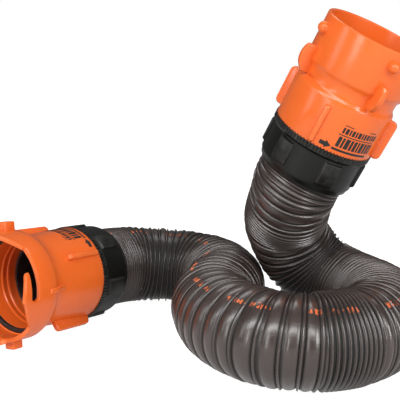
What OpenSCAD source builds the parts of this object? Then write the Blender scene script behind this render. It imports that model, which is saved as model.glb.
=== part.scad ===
// Sewer hose kit: a wire-reinforced drain hose lying in a loop, with a swivelling
// bayonet fitting on one end and a swivelling lug fitting on the other.
// Millimetres, +Z up, the floor at z = 0. Each fitting is drawn on its own axis,
// with local z = 0 at the collar's hose side and +z towards the mouth.

/* [Hose] */
// Radius over the ridges of the hose
hose_r = 44; // [42:0.5:44]
// Radius of the hose's bore, to the flats of its sides
hose_bore_r = 38; // [37.9:0.1:38.5]
// How far the hose reaches into each collar
hose_grip = 18; // [12:1:18]
// Number of turns of the reinforcing wire
wire_turns = 72; // [40:1:80]
// Diameter of the reinforcing wire
wire_d = 1.4; // [1:0.1:1.6]

/* [Swivel joint] */
// Radius of the spigot's bearing neck
neck_r = 42; // [41:0.1:42.2]
// Radial running clearance of the swivel
running_gap = 0.08; // [0.02:0.01:0.1]
// Radius of the flow bore through the spigot
flow_r = 38.4; // [37:0.1:38.6]
// Where the spigot ends
spigot_end = 82; // [80:1:86]
// Height of the retaining ring in the spigot
retainer_z = 76; // [72:1:78]

/* [Collar] */
// Length of each black collar
collar_len = 42; // [40:1:48]
// Radius of the collar's barrel
collar_r = 49; // [48:0.5:50]
// Number of raised bosses around each collar
boss_count = 6; // [3:1:8]

/* [Fitting bodies] */
// Radius of the fitting bodies beside the collar
body_r = 50.5; // [50:0.5:53]
// Radial height of the two large finger fins
fin_h = 8; // [5:0.5:9]
// Thickness of the large finger fins
fin_t = 6; // [4:0.5:8]

/* [Bayonet mouth] */
// Outside radius of the hook ring
ring_r = 55.2; // [54:0.2:57]
// Bore radius of the hook ring
ring_bore_r = 51.2; // [50.8:0.1:52]
// Level of the gasket seat
seat_z = 115; // [112:1:118]
// Level of the slot floors
slot_z = 139.7; // [136:0.1:142]
// Level of the hook tips
tip_z = 158; // [154:1:160]
// Width of the slot that takes a pin
slot_w = 9.4; // [8:0.2:11]
// Angle that each hook arm covers
arm_angle = 25; // [20:1:30]

/* [Lug mouth] */
// Outside radius of the lug tube
tube_r = 50.6; // [50:0.1:50.8]
// Bore radius of the lug tube
tube_bore_r = 46.8; // [45.5:0.1:47.2]
// Level of the lug tube's rim
rim_z = 150; // [146:1:154]
// Radius of each locking pin
pin_r = 5.6; // [3:0.1:5.6]
// Level of the locking pins
pin_z = 137; // [132:1:140]
// Thickness of the stop ears
ear_t = 4; // [3:0.5:6]

/* [Hidden] */
$fn = 96;

// Where each fitting's axis starts, its tilt from vertical and its heading
bayonet_at = [-102, 81, 56.5];
bayonet_tilt = 86;
bayonet_heading = -125;
lug_at = [119, -3, 180];
lug_tilt = 29.5;
lug_heading = -35;

// Turn of each fitting on its swivel at rest
bayonet_turn = 0;
lug_turn = 6;
hooks = 4;
pins = 4;

function axis_of(tilt, heading) =
    [sin(tilt) * cos(heading), sin(tilt) * sin(heading), cos(tilt)];
bayonet_axis = axis_of(bayonet_tilt, bayonet_heading);
lug_axis = axis_of(lug_tilt, lug_heading);

// The route of the hose's centreline, from the bayonet end to the lug end
floor_z = hose_r + 0.15;
route_middle = [
    [-67, 119, 53], [-33, 130, 50], [4, 126, 47], [33, 101, 45],
    [44, 62, floor_z], [37, 23, floor_z], [30, -16, floor_z], [34, -56, floor_z],
    [49, -92, floor_z], [77, -121, floor_z], [114, -130, floor_z], [152, -117, floor_z],
    [179, -87, floor_z], [192, -50, floor_z], [193, -11, floor_z], [177, 26, floor_z + 1],
    [150, 52, 56], [122, 58, 84], [107, 43, 117], [108, 21, 141]];
straight = 18;
route = concat(
    [bayonet_at + hose_grip * bayonet_axis, bayonet_at, bayonet_at - straight * bayonet_axis],
    route_middle,
    [lug_at - straight * lug_axis, lug_at, lug_at + hose_grip * lug_axis]);
route_steps = 3;
hose_sides = 12;
first_corner = 81;

// Point and direction on a smooth curve through the route at u, from 0 to its last index
function at(i) = i < 0 ? 2 * route[0] - route[1]
    : i >= len(route) ? 2 * route[len(route) - 1] - route[len(route) - 2]
    : route[i];
function curve_point(u) =
    let (i = min(floor(u), len(route) - 2), t = u - i,
         a = at(i - 1), b = at(i), c = at(i + 1), d = at(i + 2))
    0.5 * (2 * b + (c - a) * t + (2 * a - 5 * b + 4 * c - d) * t * t
        + (3 * b - a - 3 * c + d) * t * t * t);
function unit(v) = v / norm(v);
function curve_dir(u) =
    let (h = 0.01, last = len(route) - 1)
    unit(curve_point(min(u + h, last)) - curve_point(max(u - h, 0)));
ring_count = (len(route) - 1) * route_steps + 1;

// One side direction per ring, each turned as little as possible from the last
function square_to(side, dir) = unit(side - (side * dir) * dir);
ring_sides = [for (i = 0, side = unit(cross(curve_dir(0), [0, 0, 1])); i < ring_count;
    i = i + 1, side = square_to(side, curve_dir(i / route_steps))) side];
function side_at(u) =
    let (i = min(floor(u * route_steps), ring_count - 2), t = u * route_steps - i)
    square_to((1 - t) * ring_sides[i] + t * ring_sides[i + 1], curve_dir(u));
function ring_dir(u, angle) =
    let (side = side_at(u)) cos(angle) * side + sin(angle) * cross(side, curve_dir(u));

module at_bayonet(turn = 0) {
    translate(bayonet_at)
        rotate([0, bayonet_tilt, bayonet_heading])
            rotate(turn) children();
}

module at_lug(turn = 0) {
    translate(lug_at)
        rotate([0, lug_tilt, lug_heading])
            rotate(turn) children();
}

module around(count, first = 0) {
    for (k = [0 : count - 1])
        rotate(first + k * 360 / count) children();
}

// Part of a ring between two angles, radii and levels
module ring_part(angle, r0, r1, z0, z1) {
    rotate_extrude(angle = angle)
        translate([r0, z0]) square([r1 - r0, z1 - z0]);
}

/* Hose */

// Hollow tube: an outer and an inner skin joined at both ends
module hose() {
    bore_corner_r = hose_bore_r / cos(180 / hose_sides);
    function skin(r) = [for (i = [0 : ring_count - 1], k = [0 : hose_sides - 1])
        curve_point(i / route_steps)
            + r * ring_dir(i / route_steps, first_corner + k * 360 / hose_sides)];
    size = ring_count * hose_sides;
    function corner(s, i, k) = s * size + i * hose_sides + k % hose_sides;
    along = [for (i = [0 : ring_count - 2], k = [0 : hose_sides - 1]) each [
        [corner(0, i, k), corner(0, i, k + 1), corner(0, i + 1, k)],
        [corner(0, i, k + 1), corner(0, i + 1, k + 1), corner(0, i + 1, k)],
        [corner(1, i, k), corner(1, i + 1, k), corner(1, i, k + 1)],
        [corner(1, i, k + 1), corner(1, i + 1, k), corner(1, i + 1, k + 1)]]];
    e = ring_count - 1;
    ends = [for (k = [0 : hose_sides - 1]) each [
        [corner(0, 0, k), corner(1, 0, k), corner(0, 0, k + 1)],
        [corner(0, 0, k + 1), corner(1, 0, k), corner(1, 0, k + 1)],
        [corner(0, e, k), corner(0, e, k + 1), corner(1, e, k)],
        [corner(0, e, k + 1), corner(1, e, k + 1), corner(1, e, k)]]];
    color([0.29, 0.25, 0.23])
        polyhedron(concat(skin(hose_r), skin(bore_corner_r)), concat(along, ends));
}

// Helix of wire that lines the skin, from collar to collar
module hose_wire() {
    steps_per_turn = 12;
    wire_r = wire_d / 2;
    coil_r = hose_bore_r - wire_r - 0.8;
    first = 2;
    last = len(route) - 3;
    count = wire_turns * steps_per_turn;
    function u_at(j) = first + (last - first) * j / count;
    function out_at(j) = ring_dir(u_at(j), j * 360 / steps_per_turn);
    corners = [for (j = [0 : count], q = [0 : 3])
        let (u = u_at(j), out = out_at(j))
        curve_point(u) + (coil_r + wire_r * cos(q * 90)) * out
            + wire_r * sin(q * 90) * curve_dir(u)];
    sides = [for (j = [0 : count - 1], q = [0 : 3])
        let (a = j * 4 + q, b = j * 4 + (q + 1) % 4) each [
            [a, b, a + 4], [b, b + 4, a + 4]]];
    caps = [[0, 3, 2, 1], [for (q = [0 : 3]) count * 4 + q]];
    color([0.75, 0.76, 0.78])
        polyhedron(corners, concat(sides, caps));
}

/* Swivel joint, shared by both ends */

flange_z = hose_grip + 4;
flange_r = 45.7;
o_ring_z = 32.5;
o_ring_r = 1.17;
o_ring_centre_r = neck_r - o_ring_r - 0.03;
o_ring_groove = 2.8;
o_ring_floor_r = o_ring_centre_r - o_ring_r - 0.03;
retainer_t = 1.8;
retainer_r = 44.4;
retainer_floor_r = 40.4;

// Tube that carries the flow through the joint and that the fitting turns on
module spigot() {
    sleeve_r = hose_bore_r - 0.3;
    color([0.09, 0.09, 0.09])
        difference() {
            rotate_extrude()
                polygon([[35.2, -3], [sleeve_r - 1, -3], [sleeve_r, -1],
                    [sleeve_r, hose_grip], [flange_r, hose_grip], [flange_r, flange_z],
                    [neck_r, flange_z], [neck_r, spigot_end - 1.5],
                    [neck_r - 1, spigot_end], [flow_r, spigot_end],
                    [flow_r, flange_z + 2], [35.2, hose_grip - 2]]);
            ring_cut(o_ring_floor_r, o_ring_z - o_ring_groove / 2, o_ring_groove);
            ring_cut(retainer_floor_r - 0.1, retainer_z - 0.1, retainer_t + 0.2);
        }
}

module ring_cut(floor_r, z0, height) {
    rotate_extrude()
        translate([floor_r, z0]) square([10, height]);
}

// Rubber ring that seals the turning joint
module o_ring() {
    color([0.05, 0.05, 0.05])
        rotate_extrude()
            translate([o_ring_centre_r, o_ring_z]) circle(o_ring_r, $fn = 24);
}

// Split steel ring that keeps the fitting on its spigot
module retainer() {
    gap = 9;
    color([0.7, 0.71, 0.73])
        difference() {
            rotate_extrude()
                translate([retainer_floor_r, retainer_z])
                    square([retainer_r - retainer_floor_r, retainer_t]);
            translate([retainer_floor_r - 2, -gap / 2, retainer_z - 1])
                cube([10, gap, retainer_t + 2]);
        }
}

// Black collar that clamps the hose to the spigot, with raised bosses
module collar() {
    rim_r = body_r - 0.3;
    hose_clear_r = hose_r + 0.4;
    tail_clear_r = flange_r + 0.3;
    boss_angle = 26;
    color([0.1, 0.1, 0.1]) {
        rotate_extrude()
            polygon([[hose_clear_r, 0], [collar_r - 2, 0], [collar_r - 1.6, 3],
                [collar_r, 5], [collar_r, collar_len - 7], [rim_r, collar_len - 5],
                [rim_r, collar_len], [tail_clear_r, collar_len],
                [tail_clear_r, hose_grip - 0.4], [hose_clear_r, hose_grip - 0.4]]);
        around(boss_count, 8)
            ring_part(boss_angle, collar_r - 1, collar_r + 1.6, 9, collar_len - 8);
    }
}

/* Fitting bodies */

tail_z = flange_z + 1.4;
tail_r = 44.7;
core_r = 47;
core_z = 70;
step_z = retainer_z - 0.2;
bore_r = 45.2;
recess_r = ring_bore_r - 1.2;
body_z = collar_len + 0.4;

// Inner outline of both bodies, from the tail's front corner back to the cored pocket
function tail_outline() = [
    [bore_r, step_z], [neck_r + running_gap, step_z], [neck_r + running_gap, tail_z],
    [tail_r, tail_z], [tail_r, core_z], [core_r, core_z], [core_r, body_z]];

// Fin along the body, standing out to r, with its top corners rounded
module fin(r, thickness, z0, z1, round_r = 5) {
    inside_r = body_r - 3.2;
    rotate([90, 0, 0])
        translate([0, 0, -thickness / 2])
            linear_extrude(thickness)
                hull() {
                    translate([inside_r, z0]) square([1, z1 - z0]);
                    translate([r - round_r, z0 + round_r]) circle(round_r, $fn = 32);
                    translate([r - round_r, z1 - round_r]) circle(round_r, $fn = 32);
                }
}

// Prism that runs outwards through the ring wall, from an outline across and up
module outward_cut(outline) {
    rotate([90, 0, 90])
        translate([0, 0, ring_bore_r - 8])
            linear_extrude(20) polygon(outline);
}

// Opening that leaves one hook: the pin's slot, the mouth beside the hook, and a ramp
module hook_cut() {
    mouth_angle = 27;
    mouth_z = slot_z - 0.5;
    top = tip_z + 5;
    slot_top = slot_z + slot_w;
    ramp_top = slot_z + 9;
    corner = 2.9;
    inside_r = ring_bore_r - 5;
    outside_r = ring_r + 5;
    ring_part(arm_angle + 3, inside_r, outside_r, slot_z, slot_top);
    outward_cut([[-4.6, slot_z + corner], [corner - 4.6, slot_z], [2, slot_z],
        [2, slot_top], [corner - 4.6, slot_top], [-4.6, slot_top - corner]]);
    rotate(arm_angle)
        ring_part(mouth_angle, inside_r, outside_r, mouth_z, top);
    rotate(arm_angle + mouth_angle - 2)
        outward_cut([[0, slot_z], [12, ramp_top], [12, top], [0, top]]);
    rotate(arm_angle + mouth_angle + 10)
        outward_cut([[-1, ramp_top + 0.3], [25, tip_z], [25, top], [-1, top]]);
}

// Short rib that braces the ring's shoulder
module shoulder_rib(shoulder_z) {
    rib_r = ring_r + 0.7;
    rotate([90, 0, 0])
        translate([0, 0, -2.5])
            linear_extrude(5)
                polygon([[47, shoulder_z - 10], [49.4, shoulder_z - 9.5],
                    [50.4, shoulder_z - 3], [52.4, shoulder_z + 2], [rib_r, shoulder_z + 6.5],
                    [rib_r, shoulder_z + 18], [ring_bore_r + 1, shoulder_z + 18],
                    [ring_bore_r + 1, seat_z + 1], [47, seat_z - 4]]);
}

module bayonet_body() {
    ribs_at = 125;
    fins_at = 35;
    grips_at = 187;
    shoulder_z = 107;
    waist_r = 48;
    recess_top = seat_z + 4.5;
    color([0.93, 0.38, 0.13])
        difference() {
            union() {
                rotate_extrude()
                    polygon(concat(tail_outline(), [
                        [body_r, body_z], [body_r - 1.3, core_z - 2], [waist_r, core_z + 25],
                        [waist_r, shoulder_z], [ring_r - 1.6, shoulder_z + 8],
                        [ring_r, shoulder_z + 12], [ring_r, tip_z], [ring_bore_r, tip_z],
                        [ring_bore_r, recess_top], [recess_r, recess_top],
                        [recess_r, seat_z], [bore_r, seat_z]]));
                around(2, ribs_at) fin(body_r + 2.8, 4.6, body_z, 88, 2.4);
                around(2, fins_at) fin(body_r + fin_h, fin_t, body_z + 3, 93);
                around(2, grips_at)
                    translate([ring_r - 1, -6, 120]) cube([9.5, 12, 13]);
                around(2, grips_at - 95) shoulder_rib(shoulder_z);
            }
            around(hooks, 90) hook_cut();
        }
}

// Flat rubber ring that seals against the mating rim
module bayonet_gasket() {
    color([0.06, 0.06, 0.06])
        rotate_extrude()
            polygon([[bore_r + 0.2, seat_z], [recess_r - 0.3, seat_z],
                [recess_r - 0.3, seat_z + 3], [recess_r - 2.5, seat_z + 4],
                [bore_r + 2, seat_z + 4], [bore_r + 0.2, seat_z + 3]]);
}

module lug_body() {
    pins_at = 45;
    ribs_at = 96;
    fins_at = 6;
    shoulder_z = 91;
    throat_r = 46.8;
    throat_bore_r = 43.4;
    tube_z = 106;
    color([0.93, 0.38, 0.13])
        difference() {
            union() {
                rotate_extrude()
                    polygon(concat(tail_outline(), [
                        [body_r, body_z], [body_r, shoulder_z - 3],
                        [body_r - 1, shoulder_z - 0.8], [body_r - 3, shoulder_z],
                        [throat_r, shoulder_z + 1], [throat_r, tube_z - 2],
                        [tube_r, tube_z], [tube_r, rim_z - 0.8], [tube_r - 0.8, rim_z],
                        [tube_bore_r + 1, rim_z], [tube_bore_r, rim_z - 1],
                        [tube_bore_r, tube_z + 2], [throat_bore_r, tube_z - 2],
                        [throat_bore_r, 87], [bore_r, 84]]));
                around(2, ribs_at) fin(body_r + 2.8, 4.6, body_z, 82, 2.4);
                around(2, fins_at) fin(body_r + fin_h, fin_t, body_z + 3, 86);
                around(pins, pins_at) pin();
                around(pins, pins_at) ear();
            }
            around(pins, pins_at) translate([throat_r - 2, 3, shoulder_z + 2])
                cube([5, 9, 2]);
        }

    // Round-ended pin that locks under a hook
    module pin() {
        pin_centre_r = 53;
        dome = [for (a = [0 : 15 : 75])
            [pin_r * cos(a), pin_centre_r + pin_r * sin(a)]];
        translate([0, 0, pin_z])
            rotate([0, 90, 0])
                rotate_extrude()
                    polygon(concat([[0, tube_r - 3], [pin_r, tube_r - 3]], dome,
                        [[0, pin_centre_r + pin_r * sin(75)]]));
    }

    // D-shaped stop that stands out below each pin
    module ear() {
        ear_r = 19.5;
        ear_centre = [42.5, 108];
        ear_top = 119;
        rotate([90, 0, 0])
            translate([0, 0, -ear_t / 2])
                linear_extrude(ear_t)
                    intersection() {
                        translate(ear_centre) circle(ear_r);
                        polygon([[throat_r - 1, shoulder_z], [70, shoulder_z],
                            [70, ear_top], [tube_bore_r + 1.4, ear_top],
                            [tube_bore_r + 1.4, tube_z - 1], [throat_r - 1, tube_z - 3]]);
                    }
    }
}

hose();
hose_wire();
at_bayonet() collar();  // bayonet_collar
at_bayonet() spigot();  // bayonet_spigot
at_bayonet() o_ring();  // bayonet_o_ring
at_bayonet() retainer();  // bayonet_retainer
at_bayonet(bayonet_turn) bayonet_body();
at_bayonet(bayonet_turn) bayonet_gasket();
at_lug() collar();  // lug_collar
at_lug() spigot();  // lug_spigot
at_lug() o_ring();  // lug_o_ring
at_lug() retainer();  // lug_retainer
at_lug(lug_turn) lug_body();
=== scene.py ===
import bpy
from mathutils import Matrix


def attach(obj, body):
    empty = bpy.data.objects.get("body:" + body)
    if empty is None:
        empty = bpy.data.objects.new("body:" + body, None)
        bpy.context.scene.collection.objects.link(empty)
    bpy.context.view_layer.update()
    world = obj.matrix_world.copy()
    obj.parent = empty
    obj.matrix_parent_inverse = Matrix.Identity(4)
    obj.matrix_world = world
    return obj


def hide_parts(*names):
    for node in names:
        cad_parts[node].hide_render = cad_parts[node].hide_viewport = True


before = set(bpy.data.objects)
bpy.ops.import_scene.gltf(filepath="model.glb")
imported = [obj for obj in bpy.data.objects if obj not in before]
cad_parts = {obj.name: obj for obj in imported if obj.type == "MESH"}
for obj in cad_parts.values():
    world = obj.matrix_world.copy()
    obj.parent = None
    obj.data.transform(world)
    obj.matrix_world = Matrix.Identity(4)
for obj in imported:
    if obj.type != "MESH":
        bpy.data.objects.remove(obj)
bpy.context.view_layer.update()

# Sewer hose kit: a corrugated drain hose lying in a loop, with a swivelling bayonet
# fitting on one end and a swivelling lug fitting on the other. Metres, +Z up, the floor
# at z = 0. Fittings are drawn in millimetres on their own axis, then set in place.

import math

import bpy
import numpy as np
from mathutils import Matrix, Vector

MM = 0.001
rng = np.random.default_rng(7)

# ---------------------------------------------------------------- camera

CAMERA_AT = (0.009, -0.802, 0.2757)
LOOKS_DOWN = 8.94
lens = bpy.data.cameras.new("camera")
lens.lens = 72.4
lens.sensor_width = 36
lens.shift_x = 0.0155
lens.shift_y = -0.0043
camera = bpy.data.objects.new("camera", lens)
camera.location = CAMERA_AT
camera.rotation_euler = (math.radians(90 - LOOKS_DOWN), 0, 0)
bpy.context.scene.collection.objects.link(camera)
bpy.context.scene.camera = camera
bpy.context.scene.view_settings.view_transform = "Standard"

# ---------------------------------------------------------------- where things are


def fitting_place(at, tilt, heading, turn):
    """Where a fitting stands: the foot of its axis, then tilt, heading and own turn in degrees."""
    return (Matrix.Translation(Vector(at) * MM)
            @ Matrix.Rotation(math.radians(heading), 4, "Z")
            @ Matrix.Rotation(math.radians(tilt), 4, "Y")
            @ Matrix.Rotation(math.radians(turn), 4, "Z"))


BAYONET_AT = (-102, 81, 56.5)
LUG_AT = (119, -3, 180)
LUG_TILT = 29.5
LUG_HEADING = -35
bayonet_end = fitting_place(BAYONET_AT, tilt=86, heading=-125, turn=0)
lug_end = fitting_place(LUG_AT, LUG_TILT, LUG_HEADING, turn=0)
lug_turned = fitting_place(LUG_AT, LUG_TILT, LUG_HEADING, turn=6)

# ---------------------------------------------------------------- the hose's route

# Radius over the ridges, the length inside each collar, and the centreline's height where the
# hose lies on the floor
HOSE_R = 43.8
GRIP = 18
FLOOR = 44.15
bayonet_axis = np.array(bayonet_end.col[2][:3])
lug_axis = np.array(lug_end.col[2][:3])
route = np.array(
    [np.array(BAYONET_AT) + GRIP * bayonet_axis, BAYONET_AT,
     np.array(BAYONET_AT) - GRIP * bayonet_axis,
     (-67, 119, 53), (-33, 130, 50), (4, 126, 47), (33, 101, 45),
     (44, 62, FLOOR), (37, 23, FLOOR), (30, -16, FLOOR), (34, -56, FLOOR),
     (49, -92, FLOOR), (77, -121, FLOOR), (114, -130, FLOOR), (152, -117, FLOOR),
     (179, -87, FLOOR), (192, -50, FLOOR), (193, -11, FLOOR), (177, 26, FLOOR + 1),
     (150, 52, 56), (122, 58, 84), (107, 43, 117), (108, 21, 141),
     np.array(LUG_AT) - GRIP * lug_axis, LUG_AT, np.array(LUG_AT) + GRIP * lug_axis])


def on_route(u):
    """Points in millimetres on the smooth curve through the route."""
    ends = np.vstack([2 * route[0] - route[1], route, 2 * route[-1] - route[-2]])
    i = np.minimum(np.floor(u).astype(int), len(route) - 2)
    t = (u - i)[:, None]
    a, b, c, d = ends[i], ends[i + 1], ends[i + 2], ends[i + 3]
    return 0.5 * (2 * b + (c - a) * t + (2 * a - 5 * b + 4 * c - d) * t ** 2
                  + (3 * b - a - 3 * c + d) * t ** 3)


def unit(v):
    """Vectors brought to length 1."""
    return v / np.linalg.norm(v, axis=-1, keepdims=True)


# The route as a fine line, with its direction, its bend and two directions square to it
line = on_route(np.linspace(0, len(route) - 1, 3600))
along = np.concatenate([[0], np.cumsum(np.linalg.norm(np.diff(line, axis=0), axis=1))])
LENGTH = along[-1]
ahead = unit(np.gradient(line, along, axis=0))
bend = np.gradient(ahead, along, axis=0)
side = np.empty_like(ahead)
side[0] = unit(np.cross(ahead[0], (0, 0, 1)))
for n in range(1, len(line)):
    side[n] = unit(side[n - 1] - (side[n - 1] @ ahead[n]) * ahead[n])
above = np.cross(side, ahead)


def at(table, s):
    """A table of vectors along the hose, read at distances s."""
    return np.stack([np.interp(s, along, table[:, k]) for k in range(3)], axis=-1)


# Distance from the hose's start, and the pitch of the ridges there, all in millimetres
PITCHES = [(0, 3.1), (46, 3.1), (54, 6.2), (84, 7.4), (96, 9.5), (206, 9.5), (222, 14), (430, 14),
           (446, 12), (458, 12), (464, 3.3), (498, 3.3), (506, 10), (612, 8.5), (624, 7.4),
           (735, 7.0), (744, 11), (784, 13), (789, 3.5), (816, 3.5), (820, 12.5), (843, 12.5),
           (847, 3.5), (883, 3.5)]
START_PITCH, END_PITCH = 3.0, 3.5
UNEVEN = 0.26
fine = np.linspace(0, LENGTH, 4000)
local_pitch = np.interp(fine, *np.array(PITCHES, float).T)
turns_at = np.concatenate([[0], np.cumsum(np.diff(fine) / local_pitch[1:])])
TURNS = int(turns_at[-1])
# Three turns more are kept past each end, so that the helix can be cut square
knots = np.arange(-3, TURNS + 4)
ridges = np.interp(knots, turns_at, fine)
ridges[:3] = np.arange(-3, 0) * START_PITCH
ridges[TURNS + 4:] = LENGTH + (np.arange(TURNS + 1, TURNS + 4) - turns_at[-1]) * END_PITCH
gap = np.gradient(ridges)
ridges += np.clip(gap - 4, 0, 8) * rng.uniform(-UNEVEN, UNEVEN, len(ridges))


def ridge_place(turn):
    """Distance along the hose of the ridge after that many turns, smoothed over a turn."""
    spread = np.linspace(-0.5, 0.5, 7)
    return np.mean([np.interp(turn + d, knots, ridges) for d in spread], axis=0)


def drift(turn, per_turn, seed, low, high):
    """Smooth random values along the helix."""
    values = np.random.default_rng(seed).uniform(low, high, int((TURNS + 8) * per_turn) + 3)
    return np.interp((turn + 4) * per_turn, np.arange(len(values)), values)


def smooth_step(x, low, high):
    """Rises from 0 to 1 between low and high, softly at both."""
    t = np.clip((x - low) / (high - low), 0, 1)
    return t * t * (3 - 2 * t)


AROUND = 46
OUTER_ROWS = 13
INNER_ROWS = 3
# Radius of the cut ends, where the outer and the inner skin meet in a flat lip
OUTER_END_R = 42.4
INNER_END_R = 39.5
angles = np.arange(AROUND) * 2 * math.pi / AROUND


def outward(s, angle):
    """Unit directions square to the hose: angle 0 to the right of travel, a quarter turn up."""
    return (np.cos(angle)[..., None] * at(side, s) + np.sin(angle)[..., None] * at(above, s))


def skin(rows, shape):
    """Grid of points that follows the helix, with what shape gives for each row of a turn."""
    index = np.arange(-2 * rows, (TURNS + 2) * rows + 1)
    turn = (index // rows)[:, None] + angles[None] / (2 * math.pi)
    start = ridge_place(turn)
    pitch = np.maximum(ridge_place(turn + 1) - start, 1.0)
    place, radius, crease, ridge = shape((index % rows)[:, None], turn, start, pitch)
    s = np.clip(place, 0, LENGTH)
    ended = (place <= 0) | (place >= LENGTH)
    spread_angles = np.broadcast_to(angles, s.shape)
    end_radius = OUTER_END_R if rows == OUTER_ROWS else INNER_END_R
    radius = np.where(ended, end_radius, radius)
    points = at(line, s) + radius[..., None] * outward(s, spread_angles)
    count = len(index)
    i, j = np.meshgrid(np.arange(count - 1), np.arange(AROUND), indexing="ij")
    wrap = (j == AROUND - 1) * rows
    nj = (j + 1) % AROUND
    keep = (i + 1 + wrap) < count
    quads = np.stack([i * AROUND + j, (i + wrap) * AROUND + nj,
                      (i + 1 + wrap) * AROUND + nj, (i + 1) * AROUND + j], axis=-1)[keep]
    flat = quads.reshape(-1, 4)
    alive = ~ended.ravel()[flat].all(axis=1)
    return (points.reshape(-1, 3), flat[alive], s.ravel(), spread_angles.ravel(),
            np.broadcast_to(crease, s.shape).ravel(), np.broadcast_to(ridge, s.shape).ravel())


# One value for each outer row of a turn. Row 0 is the top of the ridge, rows 1 and 12 its flanks,
# rows 2 and 11 its feet, and the rows between cross the band. The arrays give the place as a share
# of the ridge's width and of the band's, the lip beside the ridge, and how deep in a crease it is.
RIDGE_WIDTH = 2.2
RIDGE_SHARE = np.array([0, 0.28] + [0.5] * 9 + [-0.5, -0.28])
BAND_SHARE = np.array([0, 0, 0, 0.06, 0.13, 0.22, 0.38, 0.56, 0.74, 0.88, 0.95, 1, 1])
LIP = np.array([0, 0, 0, 1, -1, -0.3, 0, 0, 0, 0, 0, 0, 0])
# How deep in a crease a row lies also sets the painted shade that darkens it in the hose's
# material
WIDE_CREASE = np.array([0, 0.3, 1, 0.7, 0.5, 0.15, 0, 0, 0, 0.3, 0.8, 1, 0.3])
TIGHT_CREASE = np.array([0, 0.1, 0.8, 1, 1, 1, 1, 1, 1, 1, 1, 0.8, 0.1])


def outer_shape(row, turn, start, pitch):
    """Ridge over the wire, a groove on each side of it, and the soft band between ridges."""
    toward = outward(start, np.broadcast_to(angles, start.shape))
    squeeze = 1 - HOSE_R * (at(bend, np.clip(start, 0, LENGTH)) * toward).sum(-1)
    real_pitch = pitch * np.clip(squeeze, 0.05, 2.5)
    wide = smooth_step(real_pitch, 5, 10)
    taut = smooth_step(real_pitch, 17, 25)
    width = np.minimum(RIDGE_WIDTH, 0.52 * pitch)
    share = BAND_SHARE[row]
    past_band = np.where(row >= 11, width, 0)
    place = start + share * (pitch - width) + RIDGE_SHARE[row] * width + past_band
    depth = np.interp(real_pitch, [2.5, 4, 7, 10, 14], [1.7, 2.4, 3.6, 3.9, 3.6])
    flat = np.interp(real_pitch, [3.4, 5.5, 8, 11, 14], [0.97, 0.92, 0.65, 0.15, 0])
    sag = wide * (drift(turn, 2.2, 3, 0, 1.1) + drift(turn, 7, 4, -0.4, 0.4))
    crown = np.clip(flat * depth + sag * (1 - 0.5 * taut) + 0.5 * taut, -0.12, depth)
    lean = drift(turn, 1.3, 5, -0.8, 0.8)
    bulge = np.sin(math.pi * np.clip(share + lean * share * (1 - share), 0, 1)) ** 0.55
    bulge = np.clip(bulge + LIP[row] * wide * drift(turn, 1.7, 6, -0.1, 0.5), 0, 1)
    on_ridge = np.isin(row, (0, 1, OUTER_ROWS - 1))
    worn = wide * drift(turn, 3, 9, 0, 1.1)
    flank = np.where(row == 0, 0, 0.3)
    drop = np.where(on_ridge, worn + flank * (depth - worn), depth + (crown - depth) * bulge)
    crease = wide * WIDE_CREASE[row] + (1 - wide) * TIGHT_CREASE[row]
    # ridge marks the ridge's top and flanks, which get a painted highlight and a lower roughness
    ridge = np.where(row == 0, 1, 0.7 * on_ridge) + 0 * crease
    return place, HOSE_R - drop, crease, ridge


INNER_SHARE = np.array([0, 0.33, 0.67])
INNER_R = np.array([40.9, 38.8, 39.1])
# The bore's crease values darken its folds with painted shade
INNER_CREASE = np.array([0.2, 0.9, 0.6])


def inner_shape(row, turn, start, pitch):
    """The bore's folds, seen down the mouths."""
    place = start + INNER_SHARE[row] * pitch
    flat_row = np.zeros_like(place)
    return place, INNER_R[row] + flat_row, INNER_CREASE[row] + flat_row, flat_row


def mesh_object(name, points, faces):
    """Object in the scene made from points in metres and faces as lists of their numbers."""
    mesh = bpy.data.meshes.new(name)
    mesh.from_pydata(points.tolist(), [], faces.tolist())
    mesh.update()
    obj = bpy.data.objects.new(name, mesh)
    bpy.context.scene.collection.objects.link(obj)
    return obj


def only(*objs):
    """Deselects everything, then selects these objects, the first of them active."""
    bpy.ops.object.select_all(action="DESELECT")
    for obj in objs:
        obj.select_set(True)
    bpy.context.view_layer.objects.active = objs[0]


# Angle round the hose at which the printed line runs, by distance along it
PRINT_LINE = [(0, 70), (120, 68), (200, 60), (300, 50), (420, 48), (520, 42), (700, 40), (883, 40)]


def make_hose():
    """The corrugated skin, outside and bore, closed by a lip at each end."""
    outer = skin(OUTER_ROWS, outer_shape)
    inner = skin(INNER_ROWS, inner_shape)
    points = np.vstack([outer[0], inner[0]])
    faces = np.vstack([outer[1][:, ::-1], inner[1] + len(outer[0])])
    obj = mesh_object("hose_skin", points * MM, faces)
    mesh = obj.data
    for name, k in (("distance", 2), ("angle", 3), ("crease", 4), ("ridge", 5)):
        layer = mesh.attributes.new(name, "FLOAT", "POINT")
        layer.data.foreach_set("value", np.concatenate([outer[k], inner[k]]).astype(np.float32))
    only(obj)
    bpy.ops.object.mode_set(mode="EDIT")
    bpy.ops.mesh.select_all(action="SELECT")
    bpy.ops.mesh.remove_doubles(threshold=2e-6)
    bpy.ops.mesh.delete_loose()
    bpy.ops.object.mode_set(mode="OBJECT")
    for end in (0, LENGTH):
        bpy.ops.object.mode_set(mode="EDIT")
        bpy.ops.mesh.select_all(action="DESELECT")
        bpy.ops.mesh.select_mode(type="EDGE")
        bpy.ops.mesh.select_non_manifold(extend=False, use_wire=False, use_boundary=True,
                                         use_multi_face=False, use_non_contiguous=False,
                                         use_verts=False)
        bpy.ops.object.mode_set(mode="OBJECT")
        distance = mesh.attributes["distance"].data
        for edge in mesh.edges:
            if edge.select and any(abs(distance[v].value - end) > 0.5 for v in edge.vertices):
                edge.select = False
        bpy.ops.object.mode_set(mode="EDIT")
        bpy.ops.mesh.bridge_edge_loops()
        bpy.ops.object.mode_set(mode="OBJECT")
    lay_print_map(mesh)
    for face in mesh.polygons:
        face.use_smooth = True
    return obj


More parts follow.
